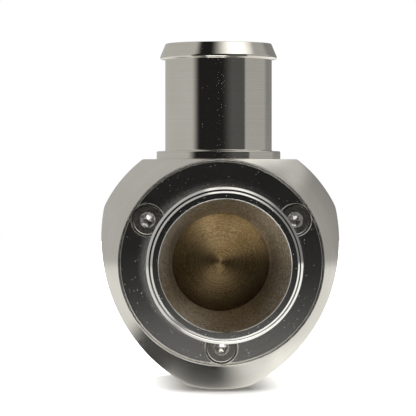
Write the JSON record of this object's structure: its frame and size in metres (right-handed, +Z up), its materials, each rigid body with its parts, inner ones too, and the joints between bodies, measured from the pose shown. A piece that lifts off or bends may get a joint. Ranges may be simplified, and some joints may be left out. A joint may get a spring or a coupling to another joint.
{
  "type": "blow-off valve",
  "caption": "Piston type blow-off valve: lobed metal housing, flanged inlet hose spigot with funnel, upright outlet hose spigot, rear cap with vacuum nipple.",
  "frame": {"origin": "on the bottom flat, straight below the outlet's axis", "axes": "+Z up along the outlet's axis, -Y along the valve axis out of the inlet, +X to the right seen from the inlet"},
  "size_m": [0.057, 0.1024, 0.0836],
  "materials": {
    "body_aluminium": "clear anodised over fine turning marks",
    "polished_aluminium": "turned and polished",
    "turned_aluminium": "turned and polished",
    "hard_anodised_aluminium": "hard anodised, dark grey",
    "piston_brass": "faced on a lathe, fine rings",
    "nipple_brass": "machined",
    "copper_washer": "annealed copper, dull",
    "screw_steel": "stainless steel, bright socket",
    "spring_steel": "drawn wire",
    "seal_rubber": "moulded, matt black",
    "guide_ring_plastic": "filled low friction plastic"
  },
  "bodies": {
    "valve_body": {"body": "body_aluminium", "inlet_flange": "polished_aluminium", "flange_oring": "seal_rubber", "seat_seal": "seal_rubber", "outlet_spigot": "turned_aluminium", "outlet_oring": "seal_rubber", "guide_sleeve": "hard_anodised_aluminium", "sleeve_oring": "seal_rubber", "return_spring": "spring_steel", "spring_washer": "spring_steel", "bump_stop": "seal_rubber", "rear_cap": "body_aluminium", "cap_oring": "seal_rubber", "vacuum_nipple": "nipple_brass", "nipple_washer": "copper_washer", "flange_screw_right": "screw_steel", "flange_screw_left": "screw_steel", "flange_screw_bottom": "screw_steel", "cap_screw_right": "screw_steel", "cap_screw_left": "screw_steel", "cap_screw_bottom": "screw_steel"},
    "piston_group": {"piston": "piston_brass", "front_guide_ring": "guide_ring_plastic", "piston_oring": "seal_rubber", "rear_guide_ring": "guide_ring_plastic"}
  },
  "joints": [
    {"name": "piston_slide", "type": "slide", "parent": "valve_body", "child": "piston_group", "axis": [0, 1, 0], "range_m": [0, 0.01], "stiffness_N_per_m": 2000, "springref_m": -0.008, "deforming": ["return_spring"]}
  ]
}
